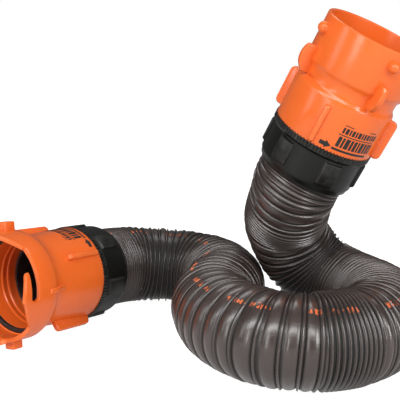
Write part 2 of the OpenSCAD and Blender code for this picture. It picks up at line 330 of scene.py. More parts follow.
def lay_print_map(mesh):
    """UV map in metres: distance along the hose, and distance round it from the printed line."""
    count = len(mesh.vertices)
    distance, angle = np.zeros(count), np.zeros(count)
    mesh.attributes["distance"].data.foreach_get("value", distance)
    mesh.attributes["angle"].data.foreach_get("value", angle)
    centre = np.radians(np.interp(distance, *np.array(PRINT_LINE, float).T))
    turned_by = (angle - centre + math.pi) % (2 * math.pi) - math.pi
    corners = np.zeros(len(mesh.loops), int)
    mesh.loops.foreach_get("vertex_index", corners)
    starts = np.zeros(len(mesh.polygons), int)
    totals = np.zeros(len(mesh.polygons), int)
    mesh.polygons.foreach_get("loop_start", starts)
    mesh.polygons.foreach_get("loop_total", totals)
    value = turned_by[corners]
    highest = np.repeat(np.maximum.reduceat(value, starts), totals)
    value = np.where(highest - value > math.pi, value + 2 * math.pi, value)
    uv = np.stack([distance[corners] * MM, value * HOSE_R * MM], axis=1)
    layer = mesh.uv_layers.new(name="hose_map")
    layer.data.foreach_set("uv", uv.astype(np.float32).ravel())


def make_wire():
    """The spring steel helix inside the ridges."""
    steps, sides, wire_r, coil_r = 22, 4, 0.45, 41.8
    turn = np.arange(0.5 * steps, (TURNS - 0.5) * steps) / steps
    s = np.clip(ridge_place(turn), 0, LENGTH)
    out = outward(s, turn * 2 * math.pi)
    tube = np.stack([at(line, s) + (coil_r + wire_r * math.cos(q * math.pi / 2)) * out
                     + wire_r * math.sin(q * math.pi / 2) * at(ahead, s) for q in range(sides)],
                    axis=1)
    count = len(turn)
    i, q = np.meshgrid(np.arange(count - 1), np.arange(sides), indexing="ij")
    nq = (q + 1) % sides
    faces = np.stack([i * sides + q, i * sides + nq, (i + 1) * sides + nq, (i + 1) * sides + q],
                     axis=-1).reshape(-1, 4)
    caps = np.array([[3, 2, 1, 0], [(count - 1) * sides + k for k in range(sides)]])
    obj = mesh_object("reinforcing_wire", tube.reshape(-1, 3) * MM, np.vstack([faces, caps]))
    only(obj)
    bpy.ops.object.mode_set(mode="EDIT")
    bpy.ops.mesh.select_all(action="SELECT")
    bpy.ops.mesh.normals_make_consistent(inside=False)
    bpy.ops.object.mode_set(mode="OBJECT")
    bpy.ops.object.shade_smooth()
    return obj


hose = make_hose()
wire = make_wire()

# ---------------------------------------------------------------- tools for the fittings


def edit(obj):
    """Opens a mesh for editing."""
    only(obj)
    bpy.ops.object.mode_set(mode="EDIT")


def done():
    """Ends the editing."""
    bpy.ops.object.mode_set(mode="OBJECT")


def turned(name, outline, steps=144, is_open=False):
    """Spins an outline of (radius, height) about the axis, as on a lathe."""
    bpy.ops.object.select_all(action="DESELECT")
    bpy.ops.mesh.primitive_circle_add(vertices=len(outline), radius=0.05)
    obj = bpy.context.object
    obj.name = obj.data.name = name
    for vertex, (r, z) in zip(obj.data.vertices, outline):
        vertex.co = (r * MM, 0, z * MM)
    if is_open:
        last = len(outline) - 1
        for part in (*obj.data.vertices, *obj.data.edges):
            part.select = False
        for edge in obj.data.edges:
            edge.select = set(edge.vertices) == {0, last}
        edit(obj)
        bpy.ops.mesh.select_mode(type="EDGE")
        bpy.ops.mesh.delete(type="EDGE")
        done()
    edit(obj)
    bpy.ops.mesh.select_all(action="SELECT")
    bpy.ops.mesh.spin(steps=steps, angle=2 * math.pi, center=(0, 0, 0), axis=(0, 0, 1))
    bpy.ops.mesh.select_all(action="SELECT")
    bpy.ops.mesh.remove_doubles(threshold=1e-6)
    bpy.ops.mesh.normals_make_consistent(inside=False)
    done()
    return obj


def slab(name, outline, thickness):
    """A plate cut to an outline of (radius, height), standing on the axis plane."""
    bpy.ops.object.select_all(action="DESELECT")
    bpy.ops.mesh.primitive_circle_add(vertices=len(outline), radius=0.01, fill_type="NGON")
    obj = bpy.context.object
    obj.name = obj.data.name = name
    for vertex, (r, z) in zip(obj.data.vertices, outline):
        vertex.co = (r * MM, -thickness / 2 * MM, z * MM)
    edit(obj)
    bpy.ops.mesh.select_all(action="SELECT")
    bpy.ops.mesh.extrude_region_move(TRANSFORM_OT_translate={"value": (0, thickness * MM, 0)})
    bpy.ops.mesh.select_all(action="SELECT")
    bpy.ops.mesh.normals_make_consistent(inside=False)
    done()
    return obj


def rounded(obj, width, segments=3, angle=30):
    """Rounds the sharp edges."""
    only(obj)
    bevel = obj.modifiers.new("rounding", "BEVEL")
    bevel.width = width * MM
    bevel.segments = segments
    bevel.limit_method = "ANGLE"
    bevel.angle_limit = math.radians(angle)
    bevel.use_clamp_overlap = True
    bpy.ops.object.modifier_apply(modifier=bevel.name)
    return obj


def select_faces(obj, wanted):
    """Selects the faces for which wanted(radius, angle, height, normal) holds, in millimetres."""
    for part in (*obj.data.vertices, *obj.data.edges):
        part.select = False
    for face in obj.data.polygons:
        x, y, z = face.center / MM
        face.select = bool(wanted(math.hypot(x, y), math.degrees(math.atan2(y, x)) % 360, z,
                                  face.normal))
    bpy.ops.object.select_all(action="DESELECT")
    edit(obj)
    bpy.ops.mesh.select_mode(type="FACE")


def copies_around(obj, turns):
    """Copies with their own mesh, turned about the axis. The pattern itself is removed."""
    made = []
    for turn in turns:
        twin = obj.copy()
        twin.data = obj.data.copy()
        bpy.context.scene.collection.objects.link(twin)
        twin.matrix_world = Matrix.Rotation(math.radians(turn), 4, "Z") @ obj.matrix_world
        only(twin)
        bpy.ops.object.transform_apply(location=True, rotation=True, scale=True)
        made.append(twin)
    bpy.data.objects.remove(obj)
    return made


def joined(main, others):
    """Puts the others into the main object."""
    only(main, *others)
    bpy.ops.object.join()
    return main


def set_in_place(obj, place):
    """Moves a finished piece to its place, with its origin kept at the frame's."""
    obj.matrix_world = place
    only(obj)
    bpy.ops.object.transform_apply(location=True, rotation=True, scale=True)
    return obj


def smooth(obj, angle=32):
    """Shades smooth, apart from edges sharper than the angle."""
    only(obj)
    bpy.ops.object.shade_smooth_by_angle(angle=math.radians(angle))
    return obj


def arc(centre_r, centre_z, radius, first, last, count=5):
    """Outline points on an arc, between two angles in degrees."""
    return [(centre_r + radius * math.cos(math.radians(a)),
             centre_z + radius * math.sin(math.radians(a)))
            for a in np.linspace(first, last, count)]


# ---------------------------------------------------------------- black collars


BOSS_EVERY, BOSS_WIDE, BOSS_FROM = 60, 22, 8
TOOTH_EVERY, TOOTH_WIDE = 4, 2


def make_collar(name):
    """Clamping collar with six raised bosses and a toothed rim."""
    outline = [(44.4, 0), (47, 0), (47.5, 3), (48.8, 5), (48.8, 9), (48.8, 33), (48.8, 34.5),
               (50.3, 36.2), (51.3, 37.2), (51.3, 42), (50.75, 42), (46, 42), (46, 18.3),
               (44.4, 17.6)]
    collar = turned(name, outline, steps=180)
    select_faces(collar, lambda r, a, z, n: (r > 48.3 and 9 < z < 33
                                             and (a - BOSS_FROM) % BOSS_EVERY < BOSS_WIDE))
    bpy.ops.mesh.inset(thickness=1.4 * MM, depth=2.6 * MM)
    done()
    select_faces(collar, lambda r, a, z, n: (r > 50.9 and 37.3 < z < 41.9
                                             and a % TOOTH_EVERY < TOOTH_WIDE))
    bpy.ops.mesh.inset(thickness=0.25 * MM, depth=-0.6 * MM)
    done()
    select_faces(collar, lambda r, a, z, n: (r > 50.9 and z > 41.5 and n.z > 0.9
                                             and a % TOOTH_EVERY >= TOOTH_WIDE))
    bpy.ops.mesh.extrude_region_move(TRANSFORM_OT_translate={"value": (0, 0, 1.5 * MM)})
    done()
    return smooth(rounded(collar, 0.35, 2, 25))


bayonet_collar = set_in_place(make_collar("bayonet_clamp_collar"), bayonet_end)
lug_collar = set_in_place(make_collar("lug_clamp_collar"), lug_end)

# ---------------------------------------------------------------- what both bodies share

# The swivel's end of either body: its outline up the bore and back down the outside
TAIL = [(45.2, 75.8), (42.08, 75.8), (42.08, 23.4), (44.7, 23.4), (44.7, 70), (47, 70), (47, 42.4)]


def fin_outline(r, z0, z1, round_r):
    """A fin's side view, with its two outer corners round."""
    return ([(47.2, z0)] + arc(r - round_r, z0 + round_r, round_r, -90, 0)
            + arc(r - round_r, z1 - round_r, round_r, 0, 90) + [(47.2, z1)])


def fins(turns, r, z0, z1, thickness, round_r, rounding):
    """Fins or ribs at several angles round a body."""
    fin = rounded(slab("fin", fin_outline(r, z0, z1, round_r), thickness), rounding)
    return copies_around(fin, turns)


# ---------------------------------------------------------------- bayonet body

# Heights of the slots behind the hooks and of the hooks' tips, above the fitting's foot
SLOT_Z = 139.7
SLOT_TOP = 149.1
TIP_Z = 158
RING_R = 51.2
RING_FOOT = 119
RING_WALL = 4
HOOK_EVERY = 90
NOTCH = 2.2


def hook_ring():
    """Ring wall with four hooks, its openings left out and its ramps drawn, then thickened."""
    levels = [RING_FOOT, 127, 134, SLOT_Z, 144.4, SLOT_TOP, 153.5, TIP_Z]
    bpy.ops.object.select_all(action="DESELECT")
    bpy.ops.mesh.primitive_circle_add(vertices=144, radius=RING_R * MM,
                                      location=(0, 0, levels[0] * MM))
    ring = bpy.context.object
    ring.name = ring.data.name = "hook_ring"
    bpy.ops.object.transform_apply(location=True, rotation=True, scale=True)
    edit(ring)
    bpy.ops.mesh.select_all(action="SELECT")
    for low, high in zip(levels, levels[1:]):
        bpy.ops.mesh.extrude_region_move(
            TRANSFORM_OT_translate={"value": (0, 0, (high - low) * MM)})
    bpy.ops.mesh.select_all(action="SELECT")
    bpy.ops.mesh.normals_make_consistent(inside=False)
    done()

    def opened(_r, a, z, _n):
        a %= HOOK_EVERY
        slot = SLOT_Z < z < SLOT_TOP and (a < 25 or a > 85)
        return slot or (z > SLOT_Z and 25 < a < 52.5)
    select_faces(ring, opened)
    bpy.ops.mesh.delete(type="FACE")
    done()
    for vertex in ring.data.vertices:
        x, y, z = vertex.co / MM
        a = math.degrees(math.atan2(y, x)) % HOOK_EVERY
        if 52 < a < 84 and z > SLOT_Z + 0.1:
            top = np.interp(a, [52.5, 65, 84.9], [SLOT_Z + 1.2, SLOT_Z + 9, 157.2])
            share = (z - SLOT_Z) / (TIP_Z - SLOT_Z)
            vertex.co.z = (SLOT_Z + share * (top - SLOT_Z)) * MM
        if 84 < a < 86 and abs(z - SLOT_Z) < 0.1:
            vertex.co.z += NOTCH * MM
        if 84 < a < 86 and abs(z - SLOT_TOP) < 0.1:
            vertex.co.z -= NOTCH * MM
        if z > SLOT_TOP - 0.1 and (a < 25.5 or a > 86):
            out = (a + 5) % 90 / 30
            top = TIP_Z - 5.2 * out ** 1.6 - (1.3 if out > 0.97 else 0)
            low = SLOT_TOP + (1.1 if out > 0.97 else 0)
            share = (z - SLOT_TOP) / (TIP_Z - SLOT_TOP)
            vertex.co.z = (low + share * (top - low)) * MM
    only(ring)
    wall = ring.modifiers.new("wall", "SOLIDIFY")
    wall.thickness = RING_WALL * MM
    wall.offset = 1
    wall.use_even_offset = True
    bpy.ops.object.modifier_apply(modifier=wall.name)
    select_faces(ring, lambda r, a, z, n: z < RING_FOOT + 0.2 and n.z < -0.9)
    bpy.ops.mesh.delete(type="FACE")
    done()
    return ring


# The body's waist: radius at each height, from its foot up to the flare
WAIST_Z = (42.4, 55, 68, 93)
WAIST_R = (50.5, 49.85, 49.2, 48)


def make_bayonet():
    """The bayonet body: bore, waist, flare and hook ring in one, with its ribs, fins and grips."""
    bore = [(RING_R, RING_FOOT), (50, RING_FOOT), (50, 115), (45.2, 115), (45.2, 98), (44.2, 97),
            (44.2, 94.5), (45, 93.6), (45, 90.4), (44, 89.6), (44, 86.5), (45.2, 85.4)]
    flare = [(47.9, 100), (48.4, 105), (49.8, 109), (51.8, 112.4), (53.9, 115.4),
             (RING_R + RING_WALL, RING_FOOT)]
    outline = bore + TAIL + list(zip(WAIST_R, WAIST_Z)) + flare
    body = turned("bayonet_shell", outline, steps=144, is_open=True)
    ring = hook_ring()
    joined(body, [ring])
    edit(body)
    bpy.ops.mesh.select_all(action="SELECT")
    bpy.ops.mesh.remove_doubles(threshold=0.03 * MM)
    bpy.ops.mesh.normals_make_consistent(inside=False)
    done()
    rounded(body, 0.8, 3, 28)
    parts = fins((125, 305), 53.6, 44, 88, 5.6, 2.8, 1.6)
    parts += fins((35, 215), 58.5, 45.4, 93, 6, 5, 1.6)
    grip = slab("grip", arc(62, 121.7, 1.7, -90, 0, 4) + arc(62, 131.3, 1.7, 0, 90, 4)
                + [(54.2, 133), (54.2, 120)], 12)
    parts += copies_around(rounded(grip, 1.3), (187, 7))
    brace = slab("brace", [(47, 97), (49.4, 97.5), (50.4, 104), (52.4, 109), (55.4, 113.5),
                           (56, 117), (56, 125), (52.2, 125), (52.2, 116), (47, 111)], 5.4)
    parts += copies_around(rounded(brace, 1.4), (92, 272))
    return smooth(joined(body, parts))


bayonet = set_in_place(make_bayonet(), bayonet_end)

# ---------------------------------------------------------------- lug body


PIN_ANGLES = (45, 135, 225, 315)
PIN_Z = 137
PIN_R = 5.6
LUG_R = 50.5
EAR_MID_Z = 108
EAR_R = 19.5
EAR_Z = (92.6, 119)


def cut_slits(body):
    """Short moulding slit beside each ear, where the throat meets the shoulder."""
    bpy.ops.object.select_all(action="DESELECT")
    bpy.ops.mesh.primitive_cube_add(size=1, location=(48 * MM, 8.2 * MM, 93.4 * MM),
                                    scale=(6 * MM, 9 * MM, 2 * MM))
    cutter = bpy.context.object
    for twin in copies_around(cutter, PIN_ANGLES):
        only(body)
        cut = body.modifiers.new("slit", "BOOLEAN")
        cut.operation = "DIFFERENCE"
        cut.solver = "EXACT"
        cut.object = twin
        bpy.ops.object.modifier_apply(modifier=cut.name)
        bpy.data.objects.remove(twin)


def make_lug():
    """The lug body: shoulder, throat and open tube in one, with its ribs, fins, pins and ears."""
    outline = TAIL + [(LUG_R, 42.4), (LUG_R, 84.6), (50.2, 86.8), (49.2, 89), (48, 90.6),
                      (47.3, 92.4), (47.2, 95), (47.3, 99), (47.9, 102.4), (49.2, 105),
                      (50.3, 106.8), (50.6, 109), (50.6, 149.2), (49.8, 150), (47.8, 150),
                      (46.8, 149), (46.8, 108), (43.4, 104), (43.4, 87), (45.2, 84)]
    body = turned("lug_shell", outline, steps=144)
    cut_slits(body)
    rounded(body, 0.6, 3, 32)
    parts = fins((96, 276), 53.8, 44, 82, 5.6, 2.8, 1.6)
    parts += fins((6, 186), 58.5, 45.4, 86, 6, 5, 1.6)
    pin = turned("pin", [(0.001, 47.6), (PIN_R, 47.6)] + arc(0, 53, PIN_R, 0, 88, 9), steps=40)
    pin.matrix_world = (Matrix.Translation((0, 0, PIN_Z * MM))
                        @ Matrix.Rotation(math.radians(90), 4, "Y"))
    parts += copies_around(pin, PIN_ANGLES)
    low, high = (math.degrees(math.asin((z - EAR_MID_Z) / EAR_R)) for z in EAR_Z)
    ear = slab("ear", [(45.8, EAR_Z[0])] + arc(42.5, EAR_MID_Z, EAR_R, low, high, 14)
               + [(48.4, EAR_Z[1]), (48.4, 106), (45.8, 103)], 5.6)
    parts += copies_around(rounded(ear, 1.1), PIN_ANGLES)
    return smooth(joined(body, parts))


lug = set_in_place(make_lug(), lug_turned)

# ---------------------------------------------------------------- gasket

gasket = turned("mouth_gasket", [(45.4, 115.05)] + arc(46.6, 118, 1.2, 180, 90, 4)
                + [(47.6, 118.7)] + arc(48.7, 118.0, 1.0, 90, 0, 4) + [(49.7, 115.05)], steps=144)
gasket = set_in_place(smooth(gasket, 40), bayonet_end)

# ---------------------------------------------------------------- printed marks

# Lines as (from, to) round the body and (from, to) up it. Rows of bars as heights, widths and gap.
THIN_LINES = [(14, 54, 46.4, 48.6), (14, 54, 61.9, 62.8), (16, 25, 71.6, 72.4),
              (44, 53, 71.6, 72.4)]
BAR_ROWS = [(50.4, 60.6, (3.4, 2.2, 4.2, 2.6, 3.2, 2.0, 3.8, 2.8, 3.0, 2.2), 1.2),
            (64.2, 69.8, (2.0, 3.0, 1.6, 2.6, 1.8, 3.2, 1.6, 2.4, 2.8, 1.6, 2.2, 2.6), 1.1)]


FROM_RIB = 7
WRAP_R = 50
FILM = 0.24


def flat_bar(u0, u1, v0, v1):
    """Flat strip in millimetres: u runs round the body, v along it."""
    bpy.ops.object.select_all(action="DESELECT")
    bpy.ops.mesh.primitive_grid_add(x_subdivisions=max(2, round((u1 - u0) / 2)),
                                    y_subdivisions=1, size=1)
    for vertex in bpy.context.object.data.vertices:
        vertex.co = (u0 + (vertex.co.x + 0.5) * (u1 - u0), v0 + (vertex.co.y + 0.5) * (v1 - v0), 0)
    return bpy.context.object


def make_mark(name, rib_angle, radius_at):
    """Plain bars, lines and an arrow, printed on a body beside one of its ribs."""
    parts = [flat_bar(*strip) for strip in THIN_LINES]
    for v0, v1, widths, gap_width in BAR_ROWS:
        u = 16
        for width in widths:
            parts.append(flat_bar(u, u + width, v0, v1))
            u += width + gap_width
    parts.append(flat_bar(1.5, 7, 46.4, 50.4))
    bpy.ops.object.select_all(action="DESELECT")
    bpy.ops.mesh.primitive_circle_add(vertices=3, radius=1, fill_type="NGON")
    head = bpy.context.object
    for vertex, corner in zip(head.data.vertices, ((7, 44.6), (13, 48.4), (7, 52.2))):
        vertex.co = (*corner, 0)
    mark = joined(head, parts)
    mark.name = mark.data.name = name
    for vertex in mark.data.vertices:
        u, v, _ = vertex.co
        r = radius_at(v)
        angle = math.radians(rib_angle + FROM_RIB) + u / WRAP_R
        vertex.co = (r * math.cos(angle) * MM, r * math.sin(angle) * MM, v * MM)
    only(mark)
    film = mark.modifiers.new("film", "SOLIDIFY")
    film.thickness = FILM * MM
    film.offset = 0
    bpy.ops.object.modifier_apply(modifier=film.name)
    return mark


bayonet_mark = make_mark("bayonet_mark", 125, lambda z: np.interp(z, WAIST_Z, WAIST_R))
bayonet_mark = set_in_place(bayonet_mark, bayonet_end)
lug_mark = set_in_place(make_mark("lug_mark", 276, lambda z: LUG_R), lug_turned)

# ---------------------------------------------------------------- materials


class Maker:
    """Adds nodes to a tree, left to right, and links them."""

    def __init__(self, tree):
        self.tree = tree
        self.count = 0

    def node(self, kind, settings=None, **values):
        """One node, with its own settings and its input values or links."""
        made = self.tree.nodes.new(kind)
        made.location = (self.count % 8 * 220 - 1600, -(self.count // 8) * 320)
        self.count += 1
        for name, value in (settings or {}).items():
            setattr(made, name, value)
        for name, value in values.items():
            self.put(made, name.replace("_", " "), value)
        return made

    def put(self, made, name, value):
        """Links a socket to an input, or sets its number; a number as text is an input's place."""
        socket = made.inputs[int(name)] if name.isdigit() else made.inputs[name]
        if isinstance(value, bpy.types.NodeSocket):
            self.tree.links.new(value, socket)
        else:
            socket.default_value = value

    def math(self, operation, a, b=0.5, c=None, clamp=False):
        made = self.node("ShaderNodeMath", settings={"operation": operation, "use_clamp": clamp})
        self.put(made, "0", a)
        self.put(made, "1", b)
        if c is not None:
            self.put(made, "2", c)
        return made.outputs[0]

    def mix(self, share, a, b, blend="MIX"):
        made = self.node("ShaderNodeMix", settings={"data_type": "RGBA", "blend_type": blend})
        for socket, value in ((made.inputs[0], share), (made.inputs[6], a), (made.inputs[7], b)):
            if isinstance(value, bpy.types.NodeSocket):
                self.tree.links.new(value, socket)
            else:
                socket.default_value = value
        return made.outputs[2]

    def scale_range(self, value, low, high, new_low, new_high):
        """Maps low to high onto new_low to new_high, and stops at both ends."""
        made = self.node("ShaderNodeMapRange")
        for k, v in enumerate((value, low, high, new_low, new_high)):
            self.put(made, str(k), v)
        return made.outputs[0]

    def noise(self, vector, scale, detail=3, roughness=0.5):
        made = self.node("ShaderNodeTexNoise")
        self.put(made, "Vector", vector)
        self.put(made, "Scale", scale)
        self.put(made, "Detail", detail)
        self.put(made, "Roughness", roughness)
        return made.outputs[0]


def new_group(name, inputs, outputs):
    """Empty node group with these sockets, and its two ends to link to."""
    group = bpy.data.node_groups.new(name, "ShaderNodeTree")
    for label, kind, default in inputs:
        socket = group.interface.new_socket(label, in_out="INPUT", socket_type=kind)
        if default is not None:
            socket.default_value = default
    for label, kind in outputs:
        group.interface.new_socket(label, in_out="OUTPUT", socket_type=kind)
    start = group.nodes.new("NodeGroupInput")
    start.location = (-1900, 0)
    end = group.nodes.new("NodeGroupOutput")
    end.location = (400, 0)
    return group, start.outputs, end.inputs


def moulded_tone_group():
    """Slow drift of tone, with convex edges painted paler: partly edge wear, partly a painted
    highlight on the rims.
    """
    group, given, out = new_group(
        "moulded_tone",
        [("Vector", "NodeSocketVector", None), ("Colour", "NodeSocketColor", (0.5, 0.5, 0.5, 1)),
         ("Rubbed Colour", "NodeSocketColor", (0.7, 0.7, 0.7, 1)),
         ("Drift", "NodeSocketFloat", 0.1), ("Rub", "NodeSocketFloat", 0.3)],
        [("Colour", "NodeSocketColor")])
    m = Maker(group)
    slow = m.noise(given["Vector"], 14, 4, 0.55)
    shade = m.scale_range(slow, 0.3, 0.7, 1.0, 0.0)
    darker = m.mix(1.0, given["Colour"], (0.72, 0.66, 0.62, 1), "MULTIPLY")
    toned = m.mix(m.math("MULTIPLY", shade, given["Drift"]), given["Colour"], darker)
    # convex edges painted paler, partly as edge wear and partly as a painted highlight on the rims
    shape = m.node("ShaderNodeNewGeometry").outputs["Pointiness"]
    edges = m.scale_range(shape, 0.515, 0.56, 0.0, 1.0)
    broken = m.scale_range(m.noise(given["Vector"], 160, 3, 0.6), 0.35, 0.62, 0.0, 1.0)
    mask = m.math("MULTIPLY", m.math("MULTIPLY", edges, broken), given["Rub"], clamp=True)
    group.links.new(m.mix(mask, toned, given["Rubbed Colour"]), out["Colour"])
    return group


def grain_group():
    """Fine moulded grain, as a height and as a share that roughness can follow."""
    group, given, out = new_group(
        "fine_grain",
        [("Vector", "NodeSocketVector", None), ("Scale", "NodeSocketFloat", 900.0),
         ("Coarse Scale", "NodeSocketFloat", 60.0), ("Coarse Share", "NodeSocketFloat", 0.4)],
        [("Height", "NodeSocketFloat"), ("Share", "NodeSocketFloat")])
    m = Maker(group)
    fine_grain = m.noise(given["Vector"], given["Scale"], 2, 0.5)
    coarse = m.noise(given["Vector"], given["Coarse Scale"], 3, 0.55)
    height = m.math("MULTIPLY_ADD", coarse, given["Coarse Share"], fine_grain)
    group.links.new(height, out["Height"])
    group.links.new(m.scale_range(coarse, 0.3, 0.7, 0.0, 1.0), out["Share"])
    return group


tone_group = moulded_tone_group()
fine_group = grain_group()


def start_material(name):
    """Material with a bare Principled surface, and a maker for its nodes."""
    material = bpy.data.materials.new(name)
    material.use_nodes = True
    tree = material.node_tree
    tree.nodes.clear()
    m = Maker(tree)
    surface = tree.nodes.new("ShaderNodeBsdfPrincipled")
    surface.location = (500, 0)
    end = tree.nodes.new("ShaderNodeOutputMaterial")
    end.location = (800, 0)
    tree.links.new(surface.outputs[0], end.inputs[0])
    return material, m, surface


def place_group(m, group, **values):
    """Puts a node group in a material and gives its outputs."""
    made = m.node("ShaderNodeGroup", settings={"node_tree": group})
    for name, value in values.items():
        m.put(made, name.replace("_", " "), value)
    return made.outputs


def moulded(name, colour, edge_wear_and_highlight_colour, rough_low, rough_high, drift_share=0.3, edge_wear_and_highlight_share=0.3, grain=900.0,
            bump=0.25, shine=0.5, metallic=0.0, scatter=0.0):
    """Moulded plastic, rubber or metal: toned, its edges painted paler as edge wear and as a
    painted highlight, with a fine grain.
    """
    material, m, surface = start_material(name)
    where = m.node("ShaderNodeTexCoord").outputs["Object"]
    tone = place_group(m, tone_group, Vector=where, Colour=(*colour, 1),
                       Rubbed_Colour=(*edge_wear_and_highlight_colour, 1), Drift=drift_share, Rub=edge_wear_and_highlight_share)
    grains = place_group(m, fine_group, Vector=where, Scale=grain)
    m.put(surface, "Base Color", tone["Colour"])
    m.put(surface, "Roughness", m.scale_range(grains["Share"], 0, 1, rough_low, rough_high))
    bumps = m.node("ShaderNodeBump", Strength=bump, Distance=0.0002, Height=grains["Height"])
    m.put(surface, "Normal", bumps.outputs[0])
    surface.inputs["Specular IOR Level"].default_value = shine
    surface.inputs["Metallic"].default_value = metallic
    if scatter:
        surface.inputs["Subsurface Weight"].default_value = scatter
        surface.inputs["Subsurface Scale"].default_value = 0.004
    return material


PALE_SKIN, DARK_SKIN = (0.054, 0.036, 0.031, 1), (0.030, 0.0185, 0.0155, 1)
# Painted shade for the creases, red-brown beside each crease and near black in it
PAINTED_SHOULDER_SHADE = (0.034, 0.019, 0.015, 1)
PAINTED_CREASE_SHADE = (0.004, 0.003, 0.0025, 1)
# Painted highlight on the ridge tops
PAINTED_RIDGE_HIGHLIGHT = (0.09, 0.07, 0.062, 1)
PRINT_INK = (0.68, 0.14, 0.034, 1)
# Length of one printed cell, and of one printed word with the space after it
PRINT_CELL = 0.0052
WORD = 0.057


def printed_line(m, where, s, round_it, crease):
    """Share of ink: one or two bars in each cell along the hose, some joined, broken by wear."""
    along_cells = m.math("MULTIPLY", s, 1 / PRINT_CELL)
    cell = m.math("FLOOR", along_cells, 0)
    across = m.math("SUBTRACT", along_cells, cell)
    chance = m.node("ShaderNodeTexWhiteNoise", settings={"noise_dimensions": "1D"}, W=cell)
    pick = m.node("ShaderNodeSeparateColor", Color=chance.outputs["Color"])
    first = m.math("COMPARE", across, 0.28, 0.15)
    second = m.math("MULTIPLY", m.math("COMPARE", across, 0.72, 0.13),
                    m.math("GREATER_THAN", pick.outputs[0], 0.35))
    level = m.math("MULTIPLY_ADD", pick.outputs[1], 0.006, -0.003)
    joint = m.math("MULTIPLY", m.math("COMPARE", m.math("SUBTRACT", round_it, level), 0, 0.0008),
                   m.math("COMPARE", across, 0.5, 0.34))
    stroke = m.math("MAXIMUM", m.math("MAXIMUM", first, second), joint)
    half = m.math("MULTIPLY_ADD", pick.outputs[2], 0.0014, 0.0019)
    width = m.math("LESS_THAN", m.math("ABSOLUTE", round_it), half)
    wave = m.math("SINE", m.math("MULTIPLY", s, 2 * math.pi / WORD))
    words = m.math("GREATER_THAN", wave, -0.35)
    patchy = m.scale_range(m.noise(where, 330, 2, 0.6), 0.42, 0.49, 0, 1)
    clear = m.scale_range(crease, 0.3, 0.6, 1, 0)
    ink = m.math("MULTIPLY", m.math("MULTIPLY", stroke, width), m.math("MULTIPLY", words, patchy))
    return m.math("MULTIPLY", ink, clear, clamp=True)


def hose_material():
    """Taupe vinyl: painted shade in its creases, a painted highlight on its ridge tops, pleated
    across its bands, with a broken orange print.
    """
    material, m, surface = start_material("taupe_hose_vinyl")
    coords = m.node("ShaderNodeTexCoord")
    where, hose_map = coords.outputs["Object"], coords.outputs["UV"]
    crease = m.node("ShaderNodeAttribute", settings={"attribute_name": "crease"}).outputs["Fac"]
    ridge = m.node("ShaderNodeAttribute", settings={"attribute_name": "ridge"}).outputs["Fac"]
    split = m.node("ShaderNodeSeparateXYZ", Vector=hose_map)
    s, round_it = split.outputs[0], split.outputs[1]
    # slow tone, in patches as wide as a few bands
    slow = m.noise(where, 22, 4, 0.6)
    base = m.mix(m.scale_range(slow, 0.32, 0.68, 0, 1), DARK_SKIN, PALE_SKIN)
    # painted shade: a thin red-brown darkening on the shoulders beside each crease, then
    # near-black painted shade in the crease itself
    shoulder = m.scale_range(crease, 0.1, 0.45, 0, 0.55)
    base = m.mix(shoulder, base, PAINTED_SHOULDER_SHADE)
    dark = m.scale_range(crease, 0.25, 0.8, 0, 0.98)
    base = m.mix(dark, base, PAINTED_CREASE_SHADE)
    # painted highlight: the ridge tops are lightened
    base = m.mix(m.math("MULTIPLY", ridge, 0.22), base, PAINTED_RIDGE_HIGHLIGHT)
    ink = printed_line(m, where, s, round_it, crease)
    base = m.mix(ink, base, PRINT_INK)
    m.put(surface, "Base Color", base)
    # roughness drifts along the skin, and is higher in the creases and lower on the ridges
    gloss = m.noise(where, 65, 3, 0.55)
    rough = m.scale_range(gloss, 0.3, 0.7, 0.28, 0.4)
    rough = m.math("MULTIPLY_ADD", crease, 0.3, rough)
    rough = m.math("MULTIPLY_ADD", ridge, -0.1, rough)
    m.put(surface, "Roughness", rough)
    m.put(surface, "Coat Weight", m.scale_range(crease, 0.25, 0.9, 1, 0))
    # stretch lines that run round the bands, pleats across them, soft dents, and a fine grain
    line_map = m.node("ShaderNodeMapping", Vector=hose_map, Scale=(850, 26, 1))
    stretch_lines = m.noise(line_map.outputs[0], 1.0, 2, 0.5)
    pleat_map = m.node("ShaderNodeMapping", Vector=hose_map, Scale=(70, 420, 1))
    pleats = m.noise(pleat_map.outputs[0], 1.0, 3, 0.55)
    dents = m.noise(where, 130, 2, 0.5)
    grains = place_group(m, fine_group, Vector=where, Scale=1500.0)
    height = m.math("ADD", m.math("MULTIPLY", pleats, 0.45), m.math("MULTIPLY", dents, 0.6))
    height = m.math("MULTIPLY_ADD", stretch_lines, 0.9, height)
    height = m.math("MULTIPLY_ADD", grains["Height"], 0.06, height)
    bumps = m.node("ShaderNodeBump", Strength=0.55, Distance=0.0009, Height=height)
    m.put(surface, "Normal", bumps.outputs[0])
    surface.inputs["IOR"].default_value = 1.5
    surface.inputs["Coat Roughness"].default_value = 0.24
    return material


orange = moulded("orange_moulded_plastic", (0.86, 0.15, 0.022), (0.95, 0.30, 0.11), 0.17, 0.27,
                 drift_share=0.2, edge_wear_and_highlight_share=0.25, grain=700.0, bump=0.2, scatter=0.05)
black = moulded("black_collar_plastic", (0.006, 0.006, 0.0055), (0.08, 0.078, 0.072), 0.28, 0.42,
                drift_share=0.5, edge_wear_and_highlight_share=0.6, grain=1100.0, bump=0.35, shine=0.35)
spigot_black = moulded("black_spigot_plastic", (0.016, 0.015, 0.015), (0.06, 0.06, 0.06), 0.3,
                       0.42, edge_wear_and_highlight_share=0.3, grain=900.0)
rubber = moulded("black_seal_rubber", (0.010, 0.010, 0.010), (0.05, 0.05, 0.05), 0.5, 0.66,
                 edge_wear_and_highlight_share=0.3, grain=1600.0, bump=0.35)
steel = moulded("spring_steel", (0.56, 0.56, 0.55), (0.75, 0.75, 0.74), 0.24, 0.36, edge_wear_and_highlight_share=0.5,
                grain=2200.0, metallic=1.0)
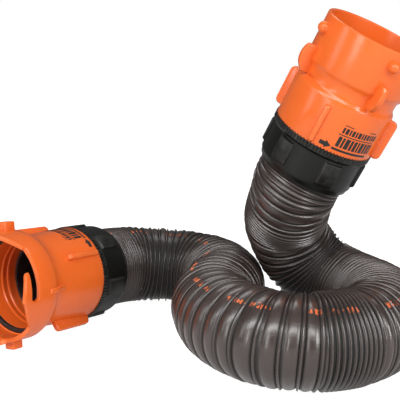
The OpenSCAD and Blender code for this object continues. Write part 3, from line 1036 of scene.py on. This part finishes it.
mark_ink = moulded("black_mark_ink", (0.012, 0.011, 0.010), (0.05, 0.03, 0.02), 0.3, 0.45,
                   drift_share=0.4, edge_wear_and_highlight_share=0.2, grain=1500.0, bump=0.1)
vinyl = hose_material()


def dress(obj, material):
    """Gives a piece its material."""
    obj.data.materials.clear()
    obj.data.materials.append(material)


dress(hose, vinyl)
dress(wire, steel)
dress(bayonet_collar, black)
dress(lug_collar, black)
dress(bayonet, orange)
dress(lug, orange)
dress(gasket, rubber)
dress(bayonet_mark, mark_ink)
dress(lug_mark, mark_ink)
for end in ("bayonet", "lug"):
    for part, material, slot in (("spigot", spigot_black, "spigot"), ("o_ring", rubber, "seal"),
                                 ("retainer", steel, "spring_steel")):
        dress(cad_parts[f"{end}_{part}"], material)

# ---------------------------------------------------------------- what moves with what

for piece in (hose, wire, bayonet_collar, lug_collar):
    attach(piece, "root")
for piece in (bayonet, gasket, bayonet_mark):
    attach(piece, "bayonet")
for piece in (lug, lug_mark):
    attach(piece, "lug")
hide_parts("hose")
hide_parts("hose_wire")
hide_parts("bayonet_collar")
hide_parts("lug_collar")
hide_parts("bayonet_body")
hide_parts("lug_body")
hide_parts("bayonet_gasket")

# ---------------------------------------------------------------- floor, light and air


def area_light(name, place, aim, size, size_y, power):
    """White softbox at a place, aimed at a point, with its two sides and its watts."""
    data = bpy.data.lights.new(name, "AREA")
    data.shape = "RECTANGLE"
    data.size, data.size_y = size, size_y
    data.energy = power
    lamp = bpy.data.objects.new(name, data)
    lamp.location = place
    lamp.rotation_euler = (Vector(aim) - Vector(place)).to_track_quat("-Z", "Y").to_euler()
    bpy.context.scene.collection.objects.link(lamp)


area_light("key_softbox", (-0.3, -1.35, 1.2), (0.03, -0.05, 0.1), 2.6, 0.4, 27)
area_light("low_softbox", (-0.95, -1.35, 0.4), (0.0, 0.05, 0.1), 0.35, 0.75, 5)
area_light("right_softbox", (1.15, -1.1, 0.55), (-0.05, 0.0, 0.1), 0.5, 0.7, 11)
area_light("left_softbox", (-1.5, -0.5, 0.7), (0.0, 0.0, 0.12), 0.4, 0.9, 3)
area_light("top_softbox", (0.1, 0.5, 1.5), (0.0, 0.0, 0.05), 1.4, 0.5, 7)

# The floor and the air are near white to the camera, and dimmer to everything they light
FLOOR_GLOW, FLOOR_SEEN = 0.25, 0.96
AIR_GLOW, AIR_SEEN = 0.13, 1.0

bpy.ops.object.select_all(action="DESELECT")
bpy.ops.mesh.primitive_plane_add(size=12, location=(0, 0, 0))
floor = bpy.context.object
floor.name = "floor"
floor_paint = bpy.data.materials.new("pale_floor")
floor_paint.use_nodes = True
paper = floor_paint.node_tree
paint = paper.nodes["Principled BSDF"]
paint.inputs["Base Color"].default_value = (0.5, 0.5, 0.5, 1)
paint.inputs["Roughness"].default_value = 0.9
paint.inputs["Specular IOR Level"].default_value = 0.1
paint.inputs["Emission Color"].default_value = (1, 1, 1, 1)
seen = paper.nodes.new("ShaderNodeLightPath")
glow = paper.nodes.new("ShaderNodeMapRange")
glow.inputs["To Min"].default_value = FLOOR_GLOW
glow.inputs["To Max"].default_value = FLOOR_SEEN
paper.links.new(seen.outputs["Is Camera Ray"], glow.inputs["Value"])
paper.links.new(glow.outputs[0], paint.inputs["Emission Strength"])
floor.data.materials.append(floor_paint)

world = bpy.data.worlds.new("studio")
bpy.context.scene.world = world
world.use_nodes = True
sky = world.node_tree
sky.nodes.clear()
rays = sky.nodes.new("ShaderNodeLightPath")
dim = sky.nodes.new("ShaderNodeBackground")
dim.inputs["Strength"].default_value = AIR_GLOW
pale = sky.nodes.new("ShaderNodeBackground")
pale.inputs["Strength"].default_value = AIR_SEEN
choose = sky.nodes.new("ShaderNodeMixShader")
air = sky.nodes.new("ShaderNodeOutputWorld")
for source, target in ((rays.outputs["Is Camera Ray"], choose.inputs[0]),
                       (dim.outputs[0], choose.inputs[1]), (pale.outputs[0], choose.inputs[2]),
                       (choose.outputs[0], air.inputs[0])):
    sky.links.new(source, target)
for backdrop in (dim, pale):
    backdrop.inputs["Color"].default_value = (1, 1, 1, 1)
